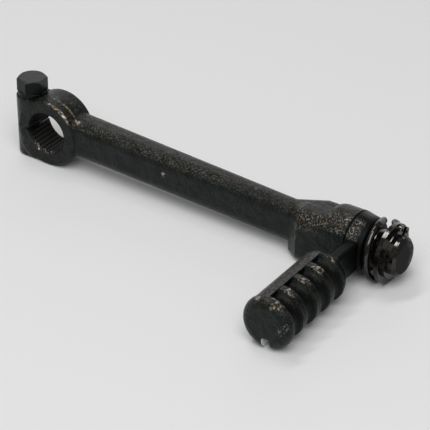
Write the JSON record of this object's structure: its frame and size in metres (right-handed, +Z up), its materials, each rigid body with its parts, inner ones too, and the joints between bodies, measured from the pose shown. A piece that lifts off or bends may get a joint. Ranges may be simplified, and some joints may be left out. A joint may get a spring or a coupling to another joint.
{
  "type": "kick start lever",
  "caption": "Motorbike kick start lever: a forged arm with a splined split clamp and pinch bolt, and a ribbed foot pedal that folds on a sprung spigot.",
  "frame": {"origin": "middle of the splined clamp bore, halfway along its width", "axes": "+X along the arm towards the pedal's spigot, +Y along the bore axis away from the pedal's tip, +Z up with the lever lying as pictured"},
  "size_m": [0.1664, 0.0703, 0.0312],
  "materials": {
    "black_paint": "satin black paint on a forging, worn to metal on edges and ribs",
    "black_oxide": "blackened steel, satin",
    "spring_steel": "dark drawn wire, lightly oiled",
    "oiled_steel": "dark oiled steel"
  },
  "bodies": {
    "arm": {"arm": "black_paint", "pinch_bolt": "black_oxide", "lock_washer": "black_oxide", "pedal_spring": "spring_steel", "spring_seat": "oiled_steel", "circlip": "oiled_steel"},
    "pedal": {"pedal": "black_paint"}
  },
  "joints": [
    {"name": "pedal_fold", "type": "hinge", "parent": "arm", "child": "pedal", "pos_m": [0.13445, -0.0013, -0.00185], "axis": [-1, 0, 0], "range_deg": [0, 90]}
  ]
}
